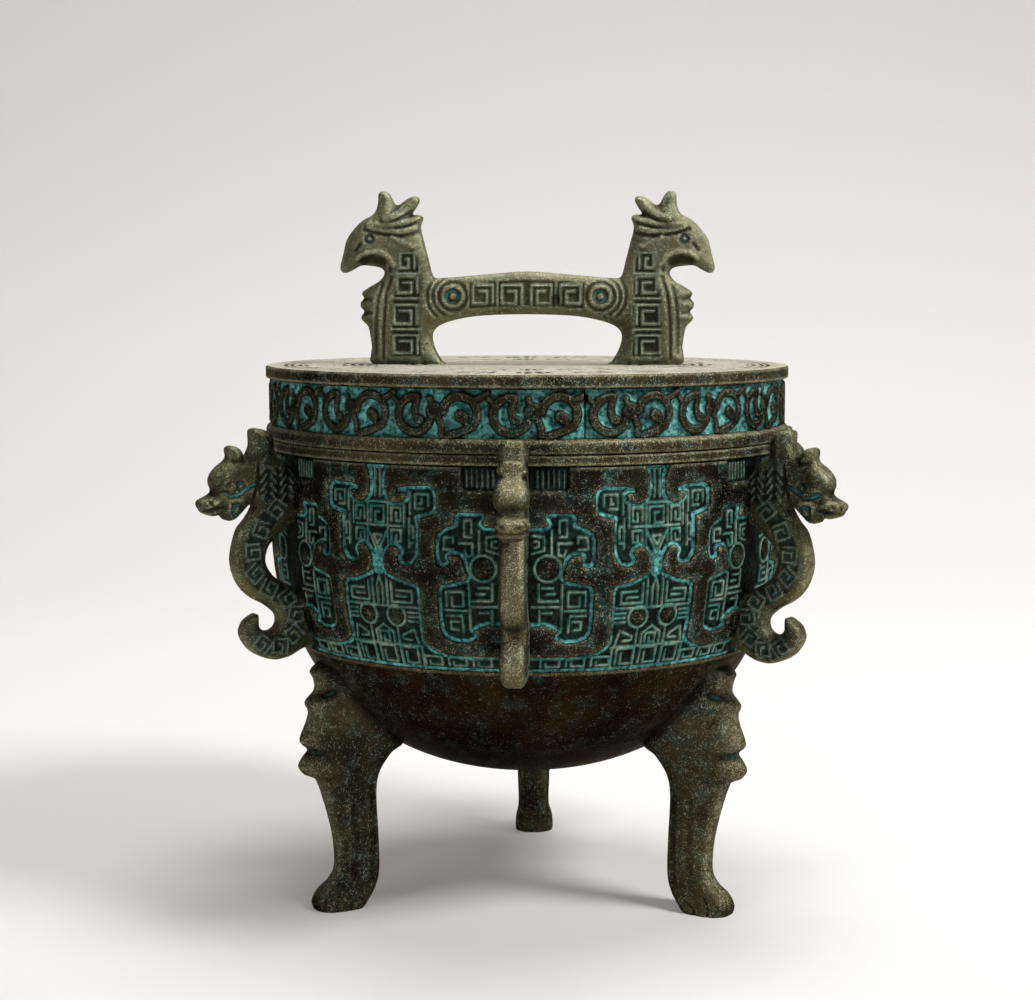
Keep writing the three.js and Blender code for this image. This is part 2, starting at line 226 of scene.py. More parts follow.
class Relief:
    """A height map over a flat stretch of surface, in millimetres, with its patina and its pale film."""

    def __init__(self, low, high, pitch):
        self.low = low
        self.pitch = pitch
        across = np.arange(low[0], high[0] + pitch, pitch)
        up = np.arange(low[1], high[1] + pitch, pitch)
        self.x, self.z = np.meshgrid(across, up)
        self.height = np.zeros_like(self.x)
        self.recess = np.zeros_like(self.x)
        self.film = np.zeros_like(self.x)

    def window(self, points, reach):
        rows, columns = self.x.shape
        cells = []
        for axis, limit in ((0, columns), (1, rows)):
            values = [point[axis] for point in points]
            first = int((min(values) - reach - self.low[axis]) / self.pitch)
            last = int((max(values) + reach - self.low[axis]) / self.pitch) + 2
            cells.append(slice(max(first, 0), max(min(last, limit), 0)))
        return cells[1], cells[0]

    def shares(self, points, width, soft):
        """For each stretch of a line, the part of the map near it and how far each spot lies in the line."""
        for (x0, z0), (x1, z1) in zip(points, points[1:]):
            area = self.window([(x0, z0), (x1, z1)], width / 2 + soft)
            x, z = self.x[area] - x0, self.z[area] - z0
            dx, dz = x1 - x0, z1 - z0
            along = np.clip((x * dx + z * dz) / max(dx * dx + dz * dz, 1e-9), 0, 1)
            gap = np.hypot(x - along * dx, z - along * dz)
            yield area, 1 - smooth((gap - width / 2 + soft) / (2 * soft))

    def groove(self, points, width, depth, patina=1.0, soft=0.2):
        for area, share in self.shares(points, width, soft):
            self.height[area] = np.minimum(self.height[area], -depth * share)
            self.recess[area] = np.maximum(self.recess[area], patina * share)

    def raise_line(self, points, width, rise, soft=0.4):
        for area, share in self.shares(points, width, soft):
            self.height[area] = np.maximum(self.height[area], rise * share)
            self.recess[area] = np.minimum(self.recess[area], 1 - share)

    def ridge(self, points, width, top, film=1.0, soft=0.3):
        """A fine line cast up to a level, with a pale film of corrosion along it."""
        for area, share in self.shares(points, width, soft):
            base = self.height[area]
            self.height[area] = np.maximum(base, base + (top - base) * share)
            self.recess[area] = np.minimum(self.recess[area], 1 - share)
            self.film[area] = np.maximum(self.film[area], film * share)

    def boss(self, x, z, radius, rise):
        share = np.clip(1 - np.hypot(self.x - x, self.z - z) / radius, 0, 1)
        self.height += rise * np.sqrt(share)
        self.recess = np.where(share > 0.1, np.minimum(self.recess, 0.12), self.recess)

    def distance(self, outline, x=None):
        """How far each spot is from a closed outline, below zero inside it; x may be a folded X."""
        x = self.x if x is None else x
        nearest = np.full_like(x, 1e3)
        inside = np.zeros(x.shape, bool)
        for (x0, z0), (x1, z1) in zip(outline, np.roll(outline, -1, axis=0)):
            dx, dz = x1 - x0, z1 - z0
            along = ((x - x0) * dx + (self.z - z0) * dz) / max(dx * dx + dz * dz, 1e-9)
            along = np.clip(along, 0, 1)
            nearest = np.minimum(nearest, np.hypot(x - x0 - along * dx, self.z - z0 - along * dz))
            if dz:
                crossed = (self.z < z0) != (self.z < z1)
                inside ^= crossed & (x < x0 + (self.z - z0) / dz * dx)
        return np.where(inside, -nearest, nearest)

    def wear(self, reach):
        """How far each spot stands above what is around it, which is where hands rub the metal bright."""
        around = self.height
        steps = max(int(reach / self.pitch), 1)
        for axis in (0, 1):
            around = sum(np.roll(around, step, axis) for step in range(-steps, steps + 1)) / (2 * steps + 1)
        return np.clip((self.height - around) / 0.5, 0, 1)

    def at(self, field, x, z):
        """A field of the map at given spots, read between its cells."""
        rows, columns = self.x.shape
        across = np.clip((x - self.low[0]) / self.pitch, 0, columns - 1.001)
        up = np.clip((z - self.low[1]) / self.pitch, 0, rows - 1.001)
        column, row = across.astype(int), up.astype(int)
        a, b = across - column, up - row
        lower = field[row, column] * (1 - a) + field[row, column + 1] * a
        upper = field[row + 1, column] * (1 - a) + field[row + 1, column + 1] * a
        return lower * (1 - b) + upper * b


def mirrored(points, side):
    return [(side * x, z) for x, z in points]


# Mesh tools

def deselect():
    bpy.ops.object.select_all(action="DESELECT")


def pick(piece):
    deselect()
    piece.select_set(True)
    bpy.context.view_layer.objects.active = piece


def edit_all():
    bpy.ops.object.mode_set(mode="EDIT")
    bpy.ops.mesh.select_mode(type="VERT")
    bpy.ops.mesh.select_all(action="SELECT")


def leave_edit():
    bpy.ops.object.mode_set(mode="OBJECT")


def edit_edges(piece, chosen):
    """Starts to edit a piece with some of its edges selected, chosen by where their two ends are."""
    bpy.ops.object.mode_set(mode="EDIT")
    bpy.ops.mesh.select_mode(type="EDGE")
    bpy.ops.mesh.select_all(action="DESELECT")
    leave_edit()
    for edge in piece.data.edges:
        edge.select = chosen(*[piece.data.vertices[end].co for end in edge.vertices])
    bpy.ops.object.mode_set(mode="EDIT")


def spots_of(piece):
    spots = np.empty(len(piece.data.vertices) * 3)
    piece.data.vertices.foreach_get("co", spots)
    return spots.reshape(-1, 3) / MM


def move_spots(piece, spots):
    piece.data.vertices.foreach_set("co", (spots * MM).ravel())
    piece.data.update()


def keep_field(piece, name, values):
    field = piece.data.attributes.get(name) or piece.data.attributes.new(name, "FLOAT", "POINT")
    field.data.foreach_set("value", np.asarray(values, np.float32))


def read_field(piece, name):
    values = np.empty(len(piece.data.vertices), np.float32)
    piece.data.attributes[name].data.foreach_get("value", values)
    return values


def keep_relief(piece, relief, x, z, front, reach, rub):
    """Keeps a relief's patina, film and wear on the front of a tile."""
    fields = {"recess": relief.recess, "film": relief.film, "wear": rub * relief.wear(reach)}
    for name, field in fields.items():
        keep_field(piece, name, np.where(front, relief.at(field, x, z), 0))


def apply_modifier(piece, kind, **settings):
    pick(piece)
    modifier = piece.modifiers.new(kind, kind)
    for key, value in settings.items():
        setattr(modifier, key, value)
    bpy.ops.object.modifier_apply(modifier=modifier.name)


def turned(name, profile, steps=TURN_STEPS):
    """A piece turned about Z: one vertex is extruded along the profile of radius and height, then spun."""
    deselect()
    bpy.ops.mesh.primitive_plane_add(size=MM)
    piece = bpy.context.object
    piece.name = name
    edit_all()
    bpy.ops.mesh.merge(type="CENTER")
    bpy.ops.transform.translate(value=(profile[0][0] * MM, 0, profile[0][1] * MM))
    for (r0, z0), (r1, z1) in zip(profile, profile[1:]):
        step = ((r1 - r0) * MM, 0, (z1 - z0) * MM)
        bpy.ops.mesh.extrude_region_move(TRANSFORM_OT_translate={"value": step})
    bpy.ops.mesh.select_all(action="SELECT")
    bpy.ops.mesh.spin(steps=steps, angle=math.tau, center=(0, 0, 0), axis=(0, 0, 1))
    bpy.ops.mesh.select_all(action="SELECT")
    bpy.ops.mesh.remove_doubles(threshold=0.01 * MM)
    bpy.ops.mesh.normals_make_consistent(inside=False)
    leave_edit()
    return piece


def rub_edges(piece, edges):
    """Wear round a turned piece's edges, each with its radius, its height and how far the wear spreads."""
    spots = spots_of(piece)
    radius = np.hypot(spots[:, 0], spots[:, 1])
    wear = np.zeros(len(spots))
    for r, z, spread in edges:
        gap = np.hypot(radius - r, spots[:, 2] - z)
        wear = np.maximum(wear, np.exp(-(gap / spread) ** 2))
    keep_field(piece, "wear", wear)
    keep_field(piece, "recess", np.zeros(len(spots)))


def relief_tile(name, wide, high, cell):
    """A closed tile: a fine grid in front, a coarse one behind, and a rim that bridges the two.
    It comes back with each vertex's place on the tile, from 0 to 1 each way, and whether it is in front."""
    deselect()
    cells = [max(int(size / cell), 4) for size in (wide, high)]
    bpy.ops.mesh.primitive_grid_add(x_subdivisions=cells[0], y_subdivisions=cells[1], size=1)
    piece = bpy.context.object
    piece.name = name
    bpy.ops.object.mode_set(mode="EDIT")
    coarse = [max(size // 10, 3) for size in cells]
    bpy.ops.mesh.select_all(action="DESELECT")
    bpy.ops.mesh.primitive_grid_add(
        x_subdivisions=coarse[0], y_subdivisions=coarse[1], size=1, location=(0, 0, -1)
    )
    bpy.ops.mesh.flip_normals()
    bpy.ops.mesh.select_all(action="DESELECT")
    bpy.ops.mesh.select_mode(type="EDGE")
    bpy.ops.mesh.select_non_manifold()
    bpy.ops.mesh.bridge_edge_loops()
    bpy.ops.mesh.select_all(action="SELECT")
    bpy.ops.mesh.normals_make_consistent(inside=False)
    leave_edit()
    spots = spots_of(piece) * MM
    return piece, spots[:, 0] + 0.5, spots[:, 1] + 0.5, spots[:, 2] > -0.5


def cut_plate(name, outline, thickness, cell):
    """A plate cut to an outline in the XZ plane, as an even fine mesh."""
    deselect()
    bpy.ops.mesh.primitive_circle_add(vertices=len(outline), fill_type="NGON")
    piece = bpy.context.object
    piece.name = name
    back = np.full(len(outline), thickness / 2)
    move_spots(piece, np.column_stack([outline[:, 0], back, outline[:, 1]]))
    edit_all()
    bpy.ops.mesh.extrude_region_move(TRANSFORM_OT_translate={"value": (0, -thickness * MM, 0)})
    bpy.ops.mesh.select_all(action="SELECT")
    bpy.ops.mesh.normals_make_consistent(inside=False)
    leave_edit()
    apply_modifier(piece, "REMESH", mode="VOXEL", voxel_size=cell * MM)
    return piece


def copied(piece, name, azimuth):
    """A copy with its own mesh, turned about the vessel's axis."""
    copy = piece.copy()
    copy.data = piece.data.copy()
    copy.name = name
    bpy.context.scene.collection.objects.link(copy)
    copy.data.transform(Matrix.Rotation(math.radians(azimuth), 4, "Z"))
    return copy


def ring_of(piece):
    """One sixth of a ring, joined with copies of it all the way round."""
    copies = [copied(piece, f"{piece.name}_{i}", 360 / PANELS * i) for i in range(1, PANELS)]
    pick(piece)
    for copy in copies:
        copy.select_set(True)
    bpy.ops.object.join()
    return piece


def remove(piece):
    bpy.data.objects.remove(piece)


def done(piece, material, node, angle=RELIEF_ANGLE):
    """Gives a finished piece smooth shading by angle, its finish and its body, and hides the CAD node it
    stands for.
    """
    pick(piece)
    bpy.ops.object.shade_smooth_by_angle(angle=math.radians(angle))
    piece.data.materials.clear()
    piece.data.materials.append(material)
    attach(piece, "root")
    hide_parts(node)


def finish_above(piece, material, height):
    """Gives a second finish to the faces above a height."""
    piece.data.materials.append(material)
    for face in piece.data.polygons:
        face.material_index = int(face.center.z > height * MM)


# Materials

PLACE = "ShaderNodeTexCoord"
FIELD = "ShaderNodeAttribute"
NOISE = "ShaderNodeTexNoise"
RANGE = "ShaderNodeMapRange"
MATH = "ShaderNodeMath"
MIX = "ShaderNodeMix"
# Clouds, patches, grain and specks in the skin: size in millimetres, detail and roughness.
# Real specks are finer; these are as coarse as they need to be to show.
SKIN = ((26, 4, 0.6), (7, 3, 0.6), (1.7, 3, 0.6), (0.55, 2, 0.7))
# The dark tone of dirt in the hollows, which also serves as painted shade there
DIRT_AND_SHADE_TONE = "#0F0E0A"
METAL_SHARE = 0.94
EDGE_TINT = "#8A7F66"
FILM = "#8BA898"
FILM_GREEN = "#3F8A82"
WASH = 0.45


def linear(colour):
    """An sRGB hex colour as Blender's linear one."""
    parts = [int(colour[i:i + 2], 16) / 255 for i in (1, 3, 5)]
    return [p / 12.92 if p <= 0.04045 else ((p + 0.055) / 1.055) ** 2.4 for p in parts] + [1]


def add(tree, kind, inputs=(), out=0, **settings):
    """Adds a node with its settings, sets or links its inputs by place or name, and gives back one output."""
    node = tree.nodes.new(kind)
    for key, value in settings.items():
        setattr(node, key, value)
    for key, value in inputs.items() if isinstance(inputs, dict) else enumerate(inputs):
        if isinstance(value, bpy.types.NodeSocket):
            tree.links.new(value, node.inputs[key])
        else:
            node.inputs[key].default_value = value
    return node.outputs[out]


def cast_bronze(name, colours, speckle, gloss, dirt_and_shade=DIRT_AND_SHADE_TONE, dust_and_top_light=0.0):
    """Cast bronze with an old skin: a dark ground under a thin green wash, pale specks of dry corrosion
    that gather where the metal is rubbed, dirt and painted shade in the hollows, and turquoise in the deep
    ones.
    The turquoise and the film along fine lines are matt, because they aren't metal.
    The colours are the dark and brown ground, the specks, the rubbed metal, and light and dark turquoise."""
    dark, brown, pale, rubbed, patina, patina_dark = [linear(colour) for colour in colours]
    material = bpy.data.materials.new(name)
    material.use_nodes = True
    tree = material.node_tree
    shader = tree.nodes["Principled BSDF"]
    place = add(tree, PLACE, out="Object")
    clouds, patches, grain, specks = [
        add(tree, NOISE, {"Vector": place, "Scale": 1 / (size * MM), "Detail": detail, "Roughness": rough})
        for size, detail, rough in SKIN
    ]
    recess, wear, film = [
        add(tree, FIELD, out="Fac", attribute_name=field) for field in ("recess", "wear", "film")
    ]

    level = add(tree, MATH, [patches, 0.2], operation="MULTIPLY")
    for part, weight in ((wear, 0.12), (grain, 0.3), (specks, 0.8)):
        level = add(tree, MATH, [part, weight, level], operation="MULTIPLY_ADD")
    spots = add(tree, RANGE, [level, 0.77 - 0.1 * speckle, 0.89 - 0.1 * speckle, 0, 0.85])
    held = add(tree, RANGE, [recess, 0.35, 0.75])
    for noise, low, high, least in ((clouds, 0.32, 0.6, 0.55), (patches, 0.38, 0.55, 0.35)):
        cover = add(tree, RANGE, [noise, low, high, least, 1])
        held = add(tree, MATH, [held, cover], operation="MULTIPLY")
    coat = add(tree, RANGE, [grain, 0.36, 0.6, 0.35, 0.95])
    coat = add(tree, MATH, [film, coat], operation="MULTIPLY")

    # The tones of the specks, the turquoise and the film, then each layer over the one before
    tones = [
        (wear, pale, rubbed),
        (add(tree, RANGE, [grain, 0.36, 0.6]), patina_dark, patina),
        (add(tree, RANGE, [patches, 0.4, 0.6]), linear(FILM_GREEN), linear(FILM)),
    ]
    speck, green, crust = [
        add(tree, MIX, {0: share, 6: one, 7: other}, 2, data_type="RGBA") for share, one, other in tones
    ]
    layers = [
        (add(tree, RANGE, [clouds, 0.35, 0.68]), brown),
        (add(tree, RANGE, [patches, 0.5, 0.68, 0, WASH]), patina_dark),
        (add(tree, MATH, [wear, 0.22], operation="MULTIPLY"), rubbed),
        (spots, speck),
        # Pale dust, which on the lid's top also stands in as painted light
        (add(tree, RANGE, [grain, 0.3, 0.7, dust_and_top_light * 0.6, dust_and_top_light]), pale),
        # Dirt and painted shade in the hollows
        (add(tree, RANGE, [recess, 0, 0.35, 0, 0.85]), linear(dirt_and_shade)),
        (held, green),
        (coat, crust),
    ]
    colour = dark
    for share, tone in layers:
        colour = add(tree, MIX, {0: share, 6: colour, 7: tone}, 2, data_type="RGBA")
    tree.links.new(colour, shader.inputs["Base Color"])

    bare = add(tree, RANGE, [spots, 0, 0.9, METAL_SHARE, 0.15])
    for cover, least in ((held, 0), (coat, 0.2)):
        share = add(tree, RANGE, [cover, 0, 1, 1, least])
        bare = add(tree, MATH, [bare, share], operation="MULTIPLY")
    tree.links.new(bare, shader.inputs["Metallic"])
    shader.inputs["Specular Tint"].default_value = linear(EDGE_TINT)
    rough = add(tree, RANGE, [specks, 0.3, 0.7, gloss - 0.08, gloss + 0.14])
    rough = add(tree, MATH, [held, 0.3, rough], operation="MULTIPLY_ADD")
    tree.links.new(rough, shader.inputs["Roughness"])

    pits = add(tree, MATH, [specks, 0.4], operation="MULTIPLY")
    pits = add(tree, MATH, [grain, 0.6, pits], operation="MULTIPLY_ADD")
    bump = add(tree, "ShaderNodeBump", {"Height": pits, "Strength": 0.85, "Distance": 0.9 * MM})
    tree.links.new(bump, shader.inputs["Normal"])
    return material


# Near black, with the brightest turquoise
panel_bronze = cast_bronze(
    "cast_bronze_black_patina",
    ("#100F0B", "#27241A", "#A8A68F", "#A6A389", "#78CFC8", "#235C5A"), 0.42, 0.46,
)
# Smooth and brown, with few specks
bowl_bronze = cast_bronze(
    "cast_bronze_smooth_brown",
    ("#150F07", "#2E210E", "#8C866A", "#7C765C", "#4B9A97", "#1F3A36"), 0.25, 0.38,
)
# Dark scrolls on a turquoise ground
lid_bronze = cast_bronze(
    "cast_bronze_turquoise_ground",
    ("#16140F", "#2F2B22", "#9A9883", "#A8A48A", "#80D0C8", "#17504E"), 0.36, 0.42,
)
# Pale with the dust that lies on the lid, and paler still as painted light falling on its top
dusty_top_lit_bronze = cast_bronze(
    "cast_bronze_dusty_top_lit_lid",
    ("#3E3B2D", "#77735E", "#DAD7C4", "#DAD6C2", "#3A5F5A", "#2F4A44"), 0.9, 0.6, DIRT_AND_SHADE_TONE, 0.7,
)
# Olive, rubbed pale at the edges
dragon_bronze = cast_bronze(
    "cast_bronze_rubbed_dragon",
    ("#2E2E21", "#57543D", "#A8A586", "#BEB892", "#5AABA4", "#24524C"), 0.5, 0.4, "#15150F",
)
# Lighter olive, from the hands that lift the lid
handle_bronze = cast_bronze(
    "cast_bronze_rubbed_handle",
    ("#52523C", "#7E7C62", "#C0BEA2", "#CAC6A8", "#5BA79F", "#365F57"), 0.5, 0.42, "#23231A",
)
# Dark olive, thick with specks
speckled_bronze = cast_bronze(
    "cast_bronze_speckled",
    ("#1F1D14", "#48422E", "#A8A488", "#A09B7C", "#4B9A95", "#24514C"), 0.62, 0.42,
)


# Bowl

def bowl_radius(z):
    drop = np.clip((SHOULDER_Z - np.asarray(z, float)) / BOWL_DROP, 0, 1)
    return BOWL_R * (1 - drop ** BOWL_POWER) ** (1 / BOWL_POWER)


def bottom_curve(inset, top_z, steps):
    """The round bottom from the axis up to a height, inset by a thickness."""
    share = ((SHOULDER_Z - top_z) / (BOWL_DROP - inset)) ** (BOWL_POWER / 2)
    angles = np.linspace(0, math.acos(share), steps)
    radius = (BOWL_R - inset) * np.sin(angles) ** (2 / BOWL_POWER)
    drop = (BOWL_DROP - inset) * np.cos(angles) ** (2 / BOWL_POWER)
    return list(zip(radius, SHOULDER_Z - drop))


def make_bowl():
    outside = bottom_curve(PLAIN_INSET, LEDGE_Z, 40)
    ledge = bowl_radius(LEDGE_Z)
    outside += [(ledge - 0.4, LEDGE_Z + 0.2), (ledge + 0.2, LEDGE_Z + 0.8), (ledge + 0.5, LEDGE_Z + 1.8)]
    outside += [(ledge - 0.8, LEDGE_Z + 2.4)]
    for z in np.linspace(LEDGE_Z + 3, PANEL_HIGH_Z, 14):
        outside.append((float(bowl_radius(z)) - PANEL_BACK + 0.4, z))
    low = RIM_Z - RIM_H
    outside += [(BOWL_R - 1.6, low - 0.1), (RIM_R - 0.5, low), (RIM_R, low + 0.5), (RIM_R, low + 1.5)]
    outside += [(RIM_R, RIM_Z - 1.4), (RIM_R, RIM_Z - 0.6)]
    outside += [(RIM_R - 0.5, RIM_Z), (MOUTH_R + 0.5, RIM_Z), (MOUTH_R, RIM_Z - 0.5), (MOUTH_R, RIM_Z - 12)]
    inside = bottom_curve(WALL, SHOULDER_Z, 30)
    bowl = turned("bowl", outside + inside[::-1])
    rub_edges(bowl, [(ledge + 0.4, LEDGE_Z + 1.2, 1.3), (RIM_R, RIM_Z - 0.3, 0.5), (RIM_R, low + 0.6, 0.6)])
    spots = spots_of(bowl)
    wear = read_field(bowl, "wear")
    for azimuth in LEGS.values():
        aim = math.radians(azimuth)
        aside = spots[:, 1] * math.cos(aim) - spots[:, 0] * math.sin(aim)
        ahead = spots[:, 0] * math.cos(aim) + spots[:, 1] * math.sin(aim)
        near = np.exp(-(aside / 22) ** 2) * smooth((ahead - 45) / 30) * (spots[:, 2] < LEDGE_Z)
        wear = np.maximum(wear, 0.6 * near)
    keep_field(bowl, "wear", wear)
    return bowl


# Mask panels

def mask_islands():
    """Half outlines of the sunk fields in a mask panel; what lies between them is the mask's raised bands."""
    middle = [
        (-6, 188.8), (5.4, 188.6), (3.8, 185), (3.3, 181), (3.8, 177.5), (5.2, 175.2), (7.4, 174),
        (10.2, 174.2), (12.6, 175.6), (13.4, 177.8), (12, 178.5), (9.4, 178.4), (9.4, 180), (13.4, 181),
        (22.5, 181.3), (25.2, 179.8), (25.8, 177), (25.8, 172.6), (24.2, 170.2), (20, 169), (17.8, 168.6),
        (18.2, 166.6), (18.3, 158), (17.8, 154), (15.6, 150.9), (12.4, 150.1), (9.8, 151), (9.1, 153.4),
        (10.4, 155.4), (9.2, 157), (7.4, 157.9), (5.2, 157.2), (3.4, 154.6), (2.6, 152), (2.5, 149.6),
        (4, 147), (10.4, 144.4), (16.4, 143.3), (18.2, 141.7), (18.2, 120.6), (20, 118.6), (22.4, 117.2),
        (26, 116.2), (33, 115.2), (60, 115.4), (60, 106), (-6, 106),
    ]
    side = [
        (60, 165.8), (44.8, 166), (43.5, 167), (44.7, 169.2), (44.7, 171.4), (34.2, 171.4), (33, 169.8),
        (32.9, 166.8), (29.2, 165.4), (26.2, 163.3), (25.3, 160.5), (25.2, 154), (26, 151.2), (28.2, 150.2),
        (30.6, 151.4), (30.8, 152.8), (30.2, 154.4), (31.2, 155.3), (34.4, 155.2), (36.2, 153.4),
        (36.9, 150.6), (38.2, 147.4), (37.2, 145.6), (34.6, 145), (30.4, 144), (26.8, 143.3), (25.9, 141.4),
        (25.9, 128), (26.4, 124.8), (27.8, 122.6), (32, 121), (37, 120.9), (41, 122.8), (40.8, 124.6),
        (39.4, 125.8), (41.4, 126.8), (45, 128.2), (50, 127.8), (60, 127.8),
    ]
    comb = [(35.8, 190), (35.8, 181), (37, 179.8), (60, 179.8), (60, 190)]
    return [middle, side, comb]


def mask_lines():
    """The fine raised lines in one half of a mask panel's sunk fields, from its middle out and up."""
    tuft = [
        [(1.2, 187.6), (1.2, 176.6)],
        [(0, 174.4), (5, 174.4)],
    ]
    horn = [
        [(14.6, 170.3), (14.6, 178.2)],
        [(20, 172.4), (16.8, 172.4), (16.8, 177.9), (22.3, 177.9), (22.3, 173.8)],
        [(19.6, 176.2), (19.6, 174.3), (18.5, 174.3)],
    ]
    shield = [
        [(14.2, 157.4), (14.2, 168.6)],
        [(12, 165.4), (12, 174)],
        [(14.2, 165.6), (16, 165.6), (16, 161)],
        [(14.2, 159.2), (16, 159.2)],
        [(4.8, 174.4), (4.8, 158)],
        [(0, 165.3), (10.4, 165.3)],
        [(4.4, 163.4), (1, 156.6), (0, 155.4)],
        [(0, 161.6), (2, 161.6), (0, 158)],
        key_spiral(8.5, 169.9, 2.1, 2.6, 2.1, 5),
        key_spiral(8.5, 161.6, 2.1, 2.2, 2.0, 5),
    ]
    field = [
        [(1.2, 134.4), (1.2, 142), (0, 145.8)],
        [(3.4, 144.6), (3.4, 134.4)],
        [(5.4, 143.4), (5.4, 135.8), (14.6, 135.8), (14.6, 140.2), (8, 140.4)],
        [(7.6, 138.1), (12, 138)],
        [(0, 133.9), (17, 133.9)],
        [(12.4, 131.9), (17, 131.9)],
        [(12.6, 130.1), (17, 130.1)],
        [(12.2, 128.4), (17, 128.4)],
        arc(EYE[0], EYE[1], EYE[2] + 0.5, 0, 360, 24),
        [(6.6, 125.6), (6.6, 108.8)],
        [(4.2, 118.5), (4.2, 123.6), (0, 126.4)],
        [(15.6, 119.4), (14.2, 125)],
        [(13, 124.6), (8.6, 122.4), (8.8, 121), (12.6, 120.8)],
        [(0, 118.5), (17, 118.5)],
        [(16.6, 118), (16.6, 109)],
    ]
    upper_side = [
        [(39.6, 163.8), (39.6, 168.6), (36.8, 168.6), (36.8, 162.4), (39.4, 162.2)],
        [(42.6, 164.6), (42.6, 155.6)],
        [(34.8, 159.8), (40, 159.8), (40, 155.4), (37.8, 154.8), (37.2, 157.2)],
        [(32.4, 160), (32.4, 162), (28.8, 162), (28.6, 157.4), (32.4, 157.2)],
        [(50, 162.8), (45.4, 162.2), (45.4, 157.2), (50, 156)],
        [(49, 160.8), (47.4, 160.4), (47.4, 158.8), (49, 158.2)],
        arc(SIDE_BOSS[0], SIDE_BOSS[1], SIDE_BOSS[2] + 0.6, 0, 360, 24),
    ]
    lower_side = [
        [(38.4, 144), (38.4, 126.4)],
        key_spiral(32.6, 138.2, 3.4, 2.8, 2.2, 5),
        [(37, 133.8), (28.8, 133.8)],
        [(28.8, 131.6), (35.2, 131.6), (35.6, 125.4)],
        [(34, 129.4), (30.6, 129.4), (30.6, 126.2), (33.4, 126)],
        [(47.4, 144.4), (47.4, 137.6), (39.6, 137.6)],
        [(42, 142.8), (46, 142.8)],
        [(41.2, 140.4), (44.4, 140.4)],
        [(39.6, 135.4), (50, 135.4)],
        [(47.2, 134), (47.2, 129.8)],
        [(42.4, 133), (46, 133)],
    ]
    return tuft + horn + shield + field + upper_side + lower_side


def mask_relief():
    half = math.pi / PANELS * BOWL_R
    relief = Relief((-half, PANEL_LOW_Z), (half, PANEL_HIGH_Z), RELIEF_PITCH)
    middle, side, comb = [relief.distance(outline, np.abs(relief.x)) for outline in mask_islands()]
    gap = np.minimum(middle, side)
    relief.height += BAND_RISE * rounded(np.minimum(gap, comb) / BAND_ROUND)
    inside = smooth(-np.minimum(gap, comb) / 0.6)
    edge = (1 - smooth((-gap - EDGE_LINE + 0.3) / 0.6)) * smooth((-gap + 0.1) / 0.4)
    relief.height -= FIELD_DEPTH * inside + (GROOVE_DEPTH - FIELD_DEPTH) * edge
    relief.recess = np.maximum(edge, FIELD_PATINA * inside)
    for mirror in (1, -1):
        for points in mask_lines():
            relief.ridge(mirrored(points, mirror), FINE_LINE, 0)
        for s in COMB:
            relief.ridge([(mirror * s, 181.2), (mirror * s, 187.4)], 0.8, 0, 0.5)
        for x, z, radius in (EYE, SIDE_BOSS):
            relief.boss(mirror * x, z, radius, BOSS_RISE)
    for points in (key_spiral(-0.2, 169.6, 3.1, 3.1, 2.2, 6), key_spiral(-0.2, 121.6, 2.3, 1.9, 1.9, 5)):
        relief.ridge(points, FINE_LINE, 0)
    for place in range(-4, 5):
        high = 3.2 if abs(place) < 2 else 1.7
        relief.ridge(key_spiral(10.6 * place, 111.4 + high, 3.8, high, 2.1, 5), FINE_LINE, 0)
    relief.groove([(0, 148), (0, 155)], 4.2, GROOVE_DEPTH, 1.0)
    relief.groove([(-52, 109.7), (52, 109.7)], 1.1, GROOVE_DEPTH, 1.0)
    return relief


def make_mask_panel():
    half = math.pi / PANELS
    relief = mask_relief()
    wide = 2 * half * BOWL_R
    panel, across, up, front = relief_tile("mask_panel", wide, PANEL_HIGH_Z - PANEL_LOW_Z, PANEL_CELL)
    angle = (across * 2 - 1) * half
    z = PANEL_LOW_Z + up * (PANEL_HIGH_Z - PANEL_LOW_Z)
    height = relief.at(relief.height, angle * BOWL_R, z)
    radius = bowl_radius(z) + np.where(front, height, -PANEL_BACK)
    move_spots(panel, np.column_stack([radius * np.cos(angle), radius * np.sin(angle), z]))
    keep_relief(panel, relief, angle * BOWL_R, z, front, 1.5, 0.7)
    return panel


# Legs

